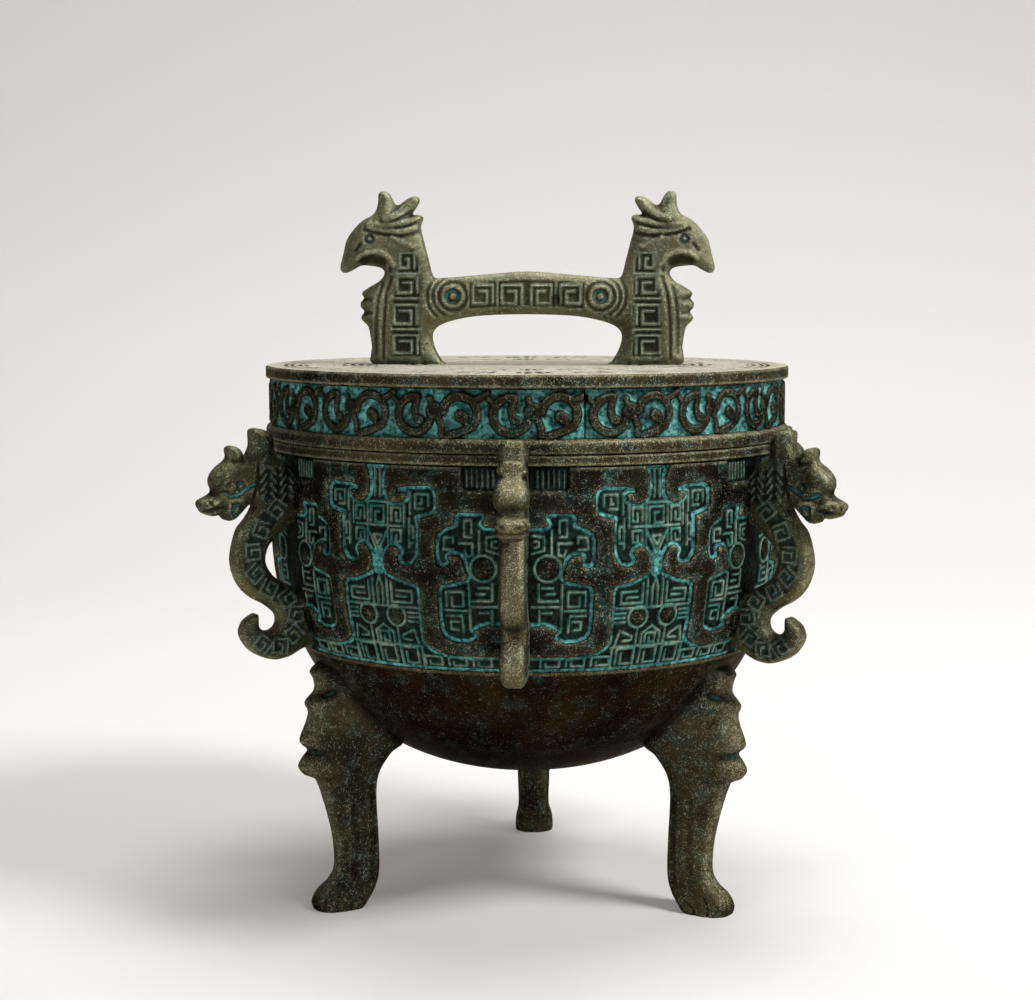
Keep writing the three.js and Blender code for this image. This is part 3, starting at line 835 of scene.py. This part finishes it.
def make_leg():
    shin = [(98.6, 0), (99.3, 3), (97, 7.5), (92.4, 11.2), (89.4, 17), (90, 29), (93, 42)]
    face = [(97.2, 54), (102.6, 57), (105.3, 60.6), (103.8, 63.8), (100.8, 67), (104.6, 71.4), (101, 79.5)]
    brow = [(100.2, 83), (102, 87), (97.6, 91), (97.2, 95.5), (99.8, 99.4), (97.4, 101.8), (92, LEG_TOP_Z)]
    cheek = [(97, 54), (98.6, 60), (99.6, 68), (99.2, 78), (99, 86), (96, 92), (96.6, 97), (92, LEG_TOP_Z)]
    front = flowing(shin + face + brow, 8)
    cheek = flowing(shin + cheek, 8)
    back = flowing([
        (77.5, 0), (72.5, 7.5), (70.6, 15), (71, 30), (71.8, 47), (70.4, 56), (65.5, 64), (60, 70), (70, 86),
        (84, LEG_TOP_Z),
    ], 8)
    half = flowing([
        (8.8, 0), (8.6, 6), (7.1, 14), (7.4, 26), (8, 42), (9, 54), (11.4, 62), (12, 72), (12.4, 80),
        (11.6, 88), (10.6, 96), (9.5, LEG_TOP_Z),
    ], 8)
    deselect()
    bpy.ops.mesh.primitive_cylinder_add(vertices=LEG_SIDES, radius=1, depth=1, end_fill_type="TRIFAN")
    leg = bpy.context.object
    edit_edges(leg, lambda one, other: abs(one.z - other.z) > 0.5)
    bpy.ops.mesh.subdivide(number_cuts=LEG_ROWS)
    leave_edit()
    raw = spots_of(leg) * MM
    z = (raw[:, 2] + 0.5) * LEG_TOP_Z
    size = np.maximum(np.hypot(raw[:, 0], raw[:, 1]), 1e-6)
    ahead, aside = [
        np.sign(part) * np.abs(part / size) ** (2 / LEG_POWER) * size for part in (raw[:, 0], raw[:, 1])
    ]
    y = aside * np.interp(z, half[:, 1], half[:, 0])
    middle = np.exp(-(y / LEG_RIDGE) ** 2)
    ridge, side, inner = [np.interp(z, curve[:, 1], curve[:, 0]) for curve in (front, cheek, back)]
    outer = ridge * middle + side * (1 - middle)
    x = (outer + inner) / 2 + (outer - inner) / 2 * ahead
    relief = leg_relief()
    on_side = smooth(np.abs(aside) * 2 - 0.2)
    y = y + np.sign(y) * on_side * relief.at(relief.height, x, z)
    off_wall = (bowl_depth(np.column_stack([x, y, z])) - 1) * BOWL_R
    y *= 1 + LEG_FLARE * np.exp(-np.maximum(off_wall, 0) / FLARE_REACH)
    mouth = 0.5 * smooth((ahead - 0.7) * 4) * np.exp(-((z - 67) / 1.8) ** 2)
    # Painted shade along the crease where the leg meets the bowl's wall
    joint = 0.25 * np.exp(-(off_wall / 2) ** 2)
    hollow = on_side * relief.at(relief.recess, x, z)
    keep_field(leg, "recess", np.maximum(hollow, np.maximum(mouth, joint)))
    rubbed = 0.5 * smooth((ahead - 0.75) * 4) * smooth((z - 2) / 6)
    keep_field(leg, "wear", np.maximum(rubbed, on_side * relief.at(relief.wear(2), x, z)))
    move_spots(leg, kept_in_wall(np.column_stack([x, y, z])))
    return leg


def bowl_depth(spots):
    """How far each spot lies from the bowl's middle, as a share of the way to its outside."""
    radius = np.hypot(spots[:, 0], spots[:, 1])
    drop = np.maximum(SHOULDER_Z - spots[:, 2], 0) / BOWL_DROP
    return ((radius / BOWL_R) ** BOWL_POWER + drop ** BOWL_POWER) ** (1 / BOWL_POWER)


def kept_in_wall(spots):
    """Spots inside the bowl are moved out into its wall, away from the hollow."""
    grow = np.maximum(IN_WALL / np.maximum(bowl_depth(spots), 1e-6), 1)[:, None]
    centre = np.array([0, 0, SHOULDER_Z])
    return centre + (spots - centre) * grow


def leg_relief():
    """Both sides of a leg, seen from the side: the beast's brow, mouth and jaw, the shin and the hoof."""
    relief = Relief((56, -1), (108, LEG_TOP_Z + 1), RELIEF_PITCH)
    hollows = [
        (2.4, 0.1, flowing([(101, 80.6), (97, 82), (93.6, 80.4)])),
        (2.0, 0.55, flowing([(103, 66.8), (101, 66.6), (99.6, 66.2)])),
        (2.4, 0.5, flowing([(99.4, 91), (96.4, 90.6), (93.6, 92.2)])),
        (2.4, 0.12, flowing([(98.4, 55.4), (94, 55.4), (90, 57.6)])),
        (2.6, 0.1, flowing([(75.6, 12), (75.4, 30), (76, 50)])),
        (2.6, 0.1, flowing([(83.6, 14), (83.2, 30), (84.6, 48)])),
    ]
    for width, patina, points in hollows:
        relief.groove(points, width, 0.45, patina, 1.2)
    hoof = [[(79, -1), (79.6, 3), (82.4, 5), (85.4, 3.6), (87, -1)], [(92, -1), (92.6, 3.4), (90.6, 7.4)]]
    for points in hoof:
        relief.groove(points, 0.8, 0.6, 0.3)
    relief.boss(91, 84, 8, 0.6)
    relief.boss(98.6, 61, 3, 0.6)
    return relief


# Lid

def make_lid():
    top, low = LID_TOP_Z, RIM_Z + 0.3
    edge = top - LID_PLATE
    outside = [(0, top), (20, top), (TOP_LOW_R, top), (TOP_LOW_R + 0.1, top - 1), (TOP_HIGH_R - 0.1, top - 1)]
    outside += [(TOP_HIGH_R, top), (LID_R - 0.7, top), (LID_R, top - 0.6), (LID_R, top - 1.5)]
    outside += [(LID_R, edge + 1.4), (LID_R, edge + 0.5)]
    outside += [(LID_R - 0.4, edge), (BAND_R + 0.6, edge - 0.5), (BAND_R - 0.6, edge - 0.9)]
    outside += [(BAND_R - 1.8, edge - 1), (BAND_R - 1.8, BAND_LOW_Z + 0.2), (BAND_R + 0.4, BAND_LOW_Z + 0.1)]
    outside += [(LID_R - 1.2, BAND_LOW_Z - 0.1), (LID_R - 0.3, BAND_LOW_Z - 0.9), (LID_R, BAND_LOW_Z - 2)]
    outside += [(LID_R, low + 1.9), (LID_R, low + 1.2), (LID_R - 0.4, low + 0.3)]
    outside += [(LID_R - 1, low), (LIP_R, low)]
    inside = [(LIP_R, low - 5), (LIP_R - 3, low - 5), (LIP_R - 3, low + 2), (BAND_R - 4, low + 6)]
    inside += [(BAND_R - 4, edge - 0.5), (BAND_R - 4.5, edge), (0, edge)]
    lid = turned("lid_cast", outside + inside)
    edges = [(LID_R, top - 0.2, 0.7), (LID_R - 0.6, BAND_LOW_Z - 0.4, 1.2), (LID_R, edge + 0.4, 0.5)]
    rub_edges(lid, edges + [(LID_R - 0.3, low + 0.6, 0.5)])
    return lid


def scroll_lines():
    """One scroll as raised strokes, from the middle of its ring: width and points."""
    return [
        (3.8, arc(0, 0, 6.7, 82, 340)),
        (3.4, [(1.2, 6.2), (0.2, 2.4), (0.6, -0.6), (2.6, -2.2)]),
        (4.2, [(1.6, -1.8), (2.4, -2)]),
        (6.6, [(7.8, 1.2), (8.4, 1.8)]),
        (3.0, [(7.6, 2), (6.4, 6)]),
        (3.2, [(9.6, -0.6), (11, -4.5), (11.2, -7.6)]),
        (3.8, arc(18, 0.4, 6.7, 172, -14)),
        (3.6, [(24.6, -1.2), (23, -4.4), (18.5, -6.4), (13.4, -8)]),
        (3.0, [(22.6, 5.2), (26, 6.6), (28.6, 8.2)]),
        (5.0, [(18.4, -0.4), (19.6, -1.2)]),
        (2.6, [(19.4, -1.4), (21.6, -4.6)]),
        (2.4, [(-6, 3.6), (-8.6, 6.4)]),
    ]


def make_lid_band():
    """One sixth of the scroll band, from one mould seam to the next."""
    turn = math.tau / PANELS
    wide, high = turn * BAND_R, BAND_HIGH_Z - BAND_LOW_Z
    relief = Relief((0, BAND_LOW_Z), (wide, BAND_HIGH_Z), RELIEF_PITCH)
    relief.recess += 1
    for place in range(SCROLLS_A_PANEL):
        start = SCROLL_START + wide / SCROLLS_A_PANEL * place
        for width, points in scroll_lines():
            line = [(start + x, SCROLL_MID_Z + z) for x, z in points]
            relief.raise_line(line, width, SCROLL_RISE, 1.0)
    for seam in (0, wide):
        relief.groove([(seam, BAND_LOW_Z), (seam, BAND_HIGH_Z)], 0.5, 0.35, 0.0)
    seam_gap = np.minimum(relief.x, wide - relief.x)
    relief.recess *= smooth((seam_gap + 0.2) / 0.8)
    band, across, up, front = relief_tile("lid_band", wide, high, PANEL_CELL)
    angle = math.radians(SEAM_TURN) + across * turn
    z = BAND_LOW_Z + up * high
    radius = BAND_R + np.where(front, relief.at(relief.height, across * wide, z), -BAND_BACK)
    move_spots(band, np.column_stack([radius * np.cos(angle), radius * np.sin(angle), z]))
    keep_relief(band, relief, across * wide, z, front, 1.6, 0.5)
    return band


def make_lid_top():
    """One sixth of the lid's top: plain rings with rows of square spirals between them, in low relief."""
    turn = math.tau / PANELS
    middle = (TOP_LOW_R + TOP_HIGH_R) / 2
    wide, high = turn * middle, TOP_HIGH_R - TOP_LOW_R
    relief = Relief((0, TOP_LOW_R), (wide, TOP_HIGH_R), 0.3)
    for radius in TOP_RINGS:
        relief.groove([(0, radius), (wide, radius)], 1.2, 0.6, 0.6)
    for row, size, count in TOP_ROWS:
        step = wide / count
        for place in range(count):
            line = key_spiral(step * (place + 0.5), row, step * 0.4, size, 3, 7)
            relief.groove(line, 1.3, 0.6, 0.6)
    top, across, up, front = relief_tile("lid_top", wide, high, TOP_CELL)
    angle = math.radians(LID_TURN) + across * turn
    radius = TOP_LOW_R + up * high
    z = LID_TOP_Z + np.where(front, relief.at(relief.height, across * wide, radius), -TOP_BACK)
    move_spots(top, np.column_stack([radius * np.cos(angle), radius * np.sin(angle), z]))
    keep_relief(top, relief, across * wide, radius, front, 2, 1)
    return top


# Dragon handles and lid handle

def pillowed(piece, outline, relief, thickness, edge_share, edge_reach):
    """Rounds a plate towards its outline, presses the relief into both faces and keeps patina and wear."""
    spots = spots_of(piece)
    x, z = spots[:, 0], spots[:, 2]
    gap = relief.at(np.abs(relief.distance(outline)), x, z)
    rise = rounded(gap / edge_reach)
    share = spots[:, 1] / (thickness / 2)
    on_face = smooth((np.abs(share) - 0.75) * 5)
    spots[:, 1] *= edge_share + (1 - edge_share) * rise
    spots[:, 1] += np.sign(share) * on_face * relief.at(relief.height, x, z)
    keep_field(piece, "recess", on_face * relief.at(relief.recess, x, z))
    keep_field(piece, "film", on_face * relief.at(relief.film, x, z))
    rubbed = 0.55 * (1 - smooth(gap / 2.6))
    keep_field(piece, "wear", np.maximum(rubbed, on_face * relief.at(relief.wear(1.5), x, z)))
    return spots


def shade_spots(piece, spots, notches):
    """Painted shade in the notches of a plate's outline, each with its X, Z and reach."""
    recess = read_field(piece, "recess")
    for x, z, reach in notches:
        gap = np.hypot(np.abs(spots[:, 0]) - x, spots[:, 2] - z)
        recess = np.maximum(recess, DIRT_AND_SHADE_LEVEL * np.exp(-(gap / reach) ** 2))
    keep_field(piece, "recess", recess)


def dragon_outline():
    nape = [(100, 183), (107, 183.4), (111, 186.6), (114.8, 189.6)]
    crest = [(115.5, 196), (119, 199.4), (123.6, 200), (124.9, 198.4), (124.6, 194), (126, 190)]
    crest += [(127.4, 187.9)]
    ear = [(128.7, 191), (131, 193), (133.7, 193.4), (135.4, 192), (135.2, 188.2)]
    brow = [(140, 184.6), (142.4, 181.6), (143, 178.6), (142, 175.2)]
    snout = [(145, 173.2), (147.6, 172), (148, 170), (146, 167), (142.6, 165.9), (138.8, 166.2)]
    jaw = [(137, 164.2), (134.6, 163.6), (131.6, 164.6), (128.6, 167.2), (125.4, 170.2), (124, 168.8)]
    belly = [(127, 163.8), (130.6, 159.4), (133.4, 150), (133, 143.6), (130, 137), (125, 132), (119.6, 129)]
    curl = arc(118.5, 122.4, 4.4, 130, 335, 8)
    tail = [(122.6, 125), (124.4, 125.2), (128.4, 122.4), (130, 118), (128.4, 113.8), (125, 110)]
    tail += [(120.6, 107.6)]
    joint = [(115.4, 106.4), (109.4, 107.4), (104.4, 110), (96, 114), (96, 130), (105, 134)]
    loop = [(110.4, 136.8), (116.2, 140.6), (119.4, 146.4), (118.2, 152.4), (115, 156), (110, 160.6)]
    loop += [(102, 166)]
    points = nape + crest + ear + brow + snout + jaw + belly + curl + tail + joint + loop
    return flowing(points, 3, closed=True)


def dragon_relief():
    relief = Relief((94, 104), (150, 203), RELIEF_PITCH)
    spine = [(115.4, 168), (122, 160), (125.6, 151), (124.8, 142.4), (119, 136), (111.4, 131.6)]
    spine += [(107.6, 125), (108.6, 117), (114.4, 112.4), (121.8, 113.6)]
    relief.groove(flowing(spine), 6.8, 0.6, 0.4, 1.0)
    relief.groove(flowing([(106, 180), (112, 177), (118, 178.4)]), 12, 0.6, 0.37, 1.5)
    for x, z, radius, rise in DRAGON_BOSSES:
        relief.boss(x, z, radius, rise)
    for (x, z), (ahead_x, ahead_z) in zip(spine, spine[1:] + [(126, 117)]):
        turn = math.degrees(math.atan2(ahead_z - z, ahead_x - x))
        relief.ridge(key_spiral(x, z, 3, 2.9, 2.1, 6, turn), 1.0, 0.1, 0.4)
    for column in range(5):
        for row in range(5):
            x, z = 104.6 + 4 * column, 171 + 3.4 * row + 0.7 * column
            lean = 1.6 if column % 2 else -1.6
            relief.ridge([(x - 1.1, z - lean), (x + 1.1, z + lean)], 1.1, 0.1, 0.25)
    lines = [
        (1.5, 0.8, flowing([(124.6, 178), (128, 176.4), (131.4, 174.2), (135, 174), (139, 175.4)])),
        (1.2, 0.6, arc(130.6, 177.6, 1.4, 0, 360, 14)),
        (1.2, 0.7, arc(132, 168, 2.3, 0, 360, 16)),
        (1.0, 0.35, flowing([(147, 168.6), (142, 169.4), (137.4, 169.4)])),
        (1.2, 0.3, flowing([(128.4, 186.4), (131, 187.2), (134.2, 187.6)])),
        (1.4, 0.34, flowing([(122.6, 186), (123.6, 179), (124.8, 172.6)])),
        (1.0, 0.3, [(144.6, 171.2), (145.6, 170.8)]),
    ]
    for width, patina, points in lines:
        relief.groove(points, width * 0.9, 0.8, patina, 0.4)
    return relief


def make_dragon():
    outline = dragon_outline()
    dragon = cut_plate("dragon", outline, DRAGON_T, DRAGON_CELL)
    spots = pillowed(dragon, outline, dragon_relief(), DRAGON_T, 0.38, 5.2)
    shade_spots(dragon, spots, DRAGON_SHADE_NOTCHES)
    # Nostrils and the mouth line, painted dark on the snout as shade
    on_snout = spots[:, 0] > 142
    nostril_shade = np.exp(-(np.hypot(np.abs(spots[:, 1]) - 2.6, spots[:, 2] - 170.6) / 1.2) ** 2)
    mouth = np.exp(-((spots[:, 2] - 168) / 0.7) ** 2)
    snout_shade = DIRT_AND_SHADE_LEVEL * on_snout * np.maximum(nostril_shade, mouth)
    keep_field(dragon, "recess", np.maximum(read_field(dragon, "recess"), snout_shade))
    spots[:, 0] -= SNOUT_BACK * smooth((spots[:, 0] - 128) / 16)
    ahead = smooth((spots[:, 0] - 136) / 6) * smooth((178 - spots[:, 2]) / 4)
    spots[:, 1] *= 1 + (SNOUT_T / DRAGON_T * 1.06 - 1) * ahead
    move_spots(dragon, spots)
    apply_modifier(dragon, "SMOOTH", factor=0.4, iterations=2)
    return dragon


def handle_outline():
    arch = [(0, 244.5), (18, 244), (29, 242.4), (36.6, 240), (39.8, 237), (40, 233.4), (38.6, 229)]
    arch += [(36, 224.6)]
    foot = [(35.2, 222.6), (64, 222.6), (65.6, 231), (67, 239)]
    chest = [(69.4, 241.6), (70.2, 243.4), (68.6, 245.6), (70.2, 247.4), (70.2, 249.6)]
    chest += [(68.6, 251.2), (69.8, 253.4)]
    throat = [(66.4, 256), (62, 258.6), (60, 261.8), (61.6, 264), (66, 264.8), (70.4, 265)]
    beak = [(74, 263), (77.4, 261.8), (79, 264), (77.6, 270), (76.2, 275.6)]
    head = [(73, 280.2), (69, 284), (64.4, 286.6), (62.8, 291), (62.6, 294.8), (60.4, 296.2)]
    head += [(57.8, 294.6), (55, 290)]
    feathers = [(50.4, 292.9), (47, 294), (45.2, 292.2), (47.6, 288), (49, 286), (45.8, 286.2)]
    feathers += [(43.8, 285), (45, 281)]
    nape = [(43.6, 275), (41.6, 267), (40, 261), (37.4, 259.7), (20, 261), (0, 262.5)]
    half = arch + foot + chest + throat + beak + head + feathers + nape
    other = mirrored(half[-2:0:-1], -1)
    return flowing(half + other, 3, closed=True)


def handle_relief():
    """Both faces of the lid handle: sunk fields with raised spirals, ringed bosses, and the birds' plumes."""
    relief = Relief((-82, 220), (82, 299), RELIEF_PITCH)
    neck = [(44, 226.6), (45.2, 238), (44.6, 258), (45.6, 268), (47.4, 272), (53.6, 271), (54.4, 260)]
    neck += [(56.6, 250), (57, 240), (57, 226.6)]
    bar = [(-1, 247.8), (12, 247.4), (24.4, 246.4), (24.4, 257.4), (12, 258.6), (-1, 259.2)]
    for outline in (neck, bar):
        inside = smooth(-relief.distance(np.array(outline), np.abs(relief.x)) / 0.8)
        relief.height -= 0.8 * inside
        relief.recess = np.maximum(relief.recess, inside * (DIRT_AND_SHADE_LEVEL if outline is neck else 0.24))
    throat = [(61, 266.4), (64.4, 267.4), (68.6, 266.8)]
    grooves = [
        (1.4, 0.3, arc(31, 252, 5.9, 0, 360, 28)),
        (1.6, 0.6, arc(31, 252, 2.4, 0, 360, 20)),
        (1.3, 0.26, arc(31, 252, 8.4, -62, 62)),
        (1.2, 0.26, arc(31, 252, 10.8, -50, 50)),
        (1.2, 0.3, flowing([(60.4, 226), (60.2, 240), (59, 252.8), (57, 259.4), (57.4, 264)])),
        (1.2, 0.26, flowing([(63.6, 228), (63.4, 240), (62.6, 250), (60.8, 257)])),
        (1.2, 0.26, flowing([(46.4, 282.7), (51, 281.2), (56.5, 280.5), (63, 280.9)])),
        (1.5, 0.3, flowing([(47.5, 287.2), (51.5, 285.4), (56, 283.6), (61, 283.2)])),
        (1.4, 0.3, flowing([(55, 289.6), (57.2, 286.6), (60, 284.4)])),
        (1.5, 0.28, flowing([(45.6, 278.8), (51, 277.4), (57, 277.6), (63, 278.6), (68, 280)])),
        (1.0, 0.6, arc(66, 276, 1.5, 0, 360, 14)),
        (1.2, 0.42, [(69.8, 274), (71.8, 271.4)]),
        (1.2, 0.3, [(70, 245.6), (65.6, 245)]),
        (1.2, 0.3, [(70, 251.2), (65.6, 250.6)]),
    ]
    ridges = [
        (2.0, 0.7, flowing([(45, 284.6), (50.8, 283), (56.5, 281.8), (62, 281.8), (66.4, 282.2)])),
        (2.0, 0.7, flowing([(46.6, 280.6), (51.5, 279.3), (56.5, 279.3), (61.4, 280), (66, 281)])),
        (3.0, 0.7, flowing([(47, 292), (50.8, 288.9), (55, 285.9), (59.4, 284.2)])),
        (1.6, 0.5, flowing([(47.6, 272.8), (50.8, 274), (54.3, 275.4), (56.8, 277)])),
        (1.6, 0.8, flowing([(55.8, 264.9), (58.4, 268.6), (62.9, 270.8), (67.8, 270), (71.4, 267.8)])),
    ]
    for side in (1, -1):
        relief.groove(mirrored(throat, side), 3.6, 2.0, 0.34, 1.2)
        for width, patina, points in grooves:
            relief.groove(mirrored(points, side), width, 0.8, patina, 0.5)
        for width, rise, points in ridges:
            relief.ridge(mirrored(points, side), width, rise, 0, 0.6)
        for z, wide, high in ((267, 3, 3.2), (256.8, 4.2, 3.4), (244.4, 4.8, 4), (231.8, 5, 3.8)):
            middle = 50.2 if z > 250 else 51
            spiral = key_spiral(middle, z, wide, high, 2.5, 6)
            relief.ridge(mirrored(spiral, side), 1.25, 0.1, 0.3, 0.35)
            low = z - high - 2.4
            relief.ridge([(side * 45, low), (side * 57, low)], 1.2, 0.1, 0.3, 0.35)
        for x in (6.2, 18.4):
            spiral = key_spiral(x, 252.8, 4.2, 3.8, 2.5, 6)
            relief.ridge(mirrored(spiral, side), 1.25, 0.1, 0.25, 0.35)
        relief.ridge([(side * 12.3, 247.4), (side * 12.3, 258.8)], 1.1, 0.1, 0.2, 0.35)
    return relief


def make_lid_handle():
    outline = handle_outline()
    handle = cut_plate("lid_handle_cast", outline, HANDLE_T, HANDLE_CELL)
    spots = pillowed(handle, outline, handle_relief(), HANDLE_T, 0.36, 6)
    shade_spots(handle, spots, HANDLE_SHADE_NOTCHES)
    gap = np.hypot(spots[:, 0] - CHIP[0], (spots[:, 2] - CHIP[1]) * 0.8) / CHIP[2]
    chip = np.exp(-gap ** 2) * (spots[:, 1] < 0)
    keep_field(handle, "recess", np.where(chip > 0.4, DIRT_AND_SHADE_LEVEL, read_field(handle, "recess")))
    keep_field(handle, "film", read_field(handle, "film") * (chip < 0.4))
    spots[:, 1] += CHIP_DEPTH * chip
    beak = smooth((np.abs(spots[:, 0]) - 68) / 10) * smooth((spots[:, 2] - 259) / 4)
    crest = smooth((spots[:, 2] - 284) / 8)
    spots[:, 1] *= (1 - 0.45 * beak) * (1 - 0.4 * crest)
    spots[:, 2] = np.maximum(spots[:, 2], LID_TOP_Z - 0.6)
    move_spots(handle, spots)
    apply_modifier(handle, "SMOOTH", factor=0.4, iterations=1)
    return handle


# Pieces

bowl = make_bowl()
done(bowl, bowl_bronze, "vessel", TURNED_ANGLE)
finish_above(bowl, speckled_bronze, RIM_Z - RIM_H - 0.2)

panel = make_mask_panel()
for number in range(PANELS):
    piece = copied(panel, f"mask_panel_{number + 1}", 360 / PANELS * number)
    done(piece, panel_bronze, "vessel")
remove(panel)

leg = make_leg()
for name, azimuth in LEGS.items():
    done(copied(leg, name, azimuth), speckled_bronze, "vessel")
remove(leg)

lid = make_lid()
done(lid, speckled_bronze, "lid", TURNED_ANGLE)
# The lid's top faces take the pale finish: dust and painted top light
finish_above(lid, dusty_top_lit_bronze, LID_TOP_Z - 0.1)
done(ring_of(make_lid_band()), lid_bronze, "lid")
done(ring_of(make_lid_top()), dusty_top_lit_bronze, "lid")

done(make_lid_handle(), handle_bronze, "lid_handle")

dragon = make_dragon()
for number in range(PANELS):
    name = f"dragon_{number + 1}"
    piece = copied(dragon, f"{name}_cast", DRAGON_START + 360 / PANELS * number)
    done(piece, dragon_bronze, name)
remove(dragon)


# Floor, light and camera

def paper(name):
    """Matt pale paper, as on a studio table: no gloss, painted lighter where it turns up into the wall as
    light falls there, and glowing a little as painted light.
    """
    material = bpy.data.materials.new(name)
    material.use_nodes = True
    tree = material.node_tree
    shader = tree.nodes["Principled BSDF"]
    place = add(tree, PLACE, out="Object")
    depth = add(tree, "ShaderNodeSeparateXYZ", [place], "Y")
    share = add(tree, RANGE, [depth, -0.6, 1.6])
    tone = add(tree, MIX, {0: share, 6: linear(PAPER_FLOOR), 7: linear(PAPER_WALL)}, 2, data_type="RGBA")
    tree.links.new(tone, shader.inputs["Base Color"])
    # The paper glows in its own tone: painted light
    tree.links.new(tone, shader.inputs["Emission Color"])
    shader.inputs["Emission Strength"].default_value = PAPER_GLOW
    shader.inputs["Roughness"].default_value = 0.9
    return material


def make_backdrop():
    """A floor that runs up into a wall in one sweep."""
    deselect()
    bpy.ops.mesh.primitive_plane_add(size=FLOOR_SIZE, location=(0, SWEEP_START - FLOOR_SIZE / 2, 0))
    backdrop = bpy.context.object
    backdrop.name = "backdrop"
    bpy.ops.object.transform_apply(location=True)
    edit_edges(backdrop, lambda one, other: min(one.y, other.y) > 0)
    for step in range(SWEEP_STEPS):
        angle = math.pi / 2 * (step + 0.5) / SWEEP_STEPS
        reach = SWEEP_R * math.pi / 2 / SWEEP_STEPS
        move = (0, reach * math.cos(angle), reach * math.sin(angle))
        bpy.ops.mesh.extrude_region_move(TRANSFORM_OT_translate={"value": move})
    bpy.ops.mesh.extrude_region_move(TRANSFORM_OT_translate={"value": (0, 0, WALL_H)})
    leave_edit()
    bpy.ops.object.shade_smooth()
    backdrop.data.materials.append(paper("studio_paper_matt"))


def soft_box(name, spot, target, size, power):
    light = bpy.data.lights.new(name, "AREA")
    light.shape = "DISK"
    light.size = size
    light.energy = power
    lamp = bpy.data.objects.new(name, light)
    bpy.context.scene.collection.objects.link(lamp)
    lamp.location = spot
    aim = Vector(spot) - Vector(target)
    lamp.rotation_euler = aim.to_track_quat("Z", "Y").to_euler()


make_backdrop()
for name, (spot, target, size, power) in LIGHTS.items():
    soft_box(name, spot, target, size, power)

world = bpy.data.worlds.new("studio")
world.use_nodes = True
room = world.node_tree.nodes["Background"]
room.inputs["Color"].default_value = linear(ROOM_TONE)
room.inputs["Strength"].default_value = ROOM_LIGHT
bpy.context.scene.world = world
bpy.context.scene.view_settings.view_transform = "Standard"

camera_data = bpy.data.cameras.new("camera")
camera_data.sensor_width = SENSOR
camera_data.sensor_fit = "HORIZONTAL"
camera_data.lens = CAMERA_LENS
camera = bpy.data.objects.new("camera", camera_data)
bpy.context.scene.collection.objects.link(camera)
camera.location = [value * MM for value in CAMERA_SPOT]
camera.rotation_euler = (math.radians(90 - CAMERA_PITCH), 0, math.radians(CAMERA_TURN))
bpy.context.scene.camera = camera
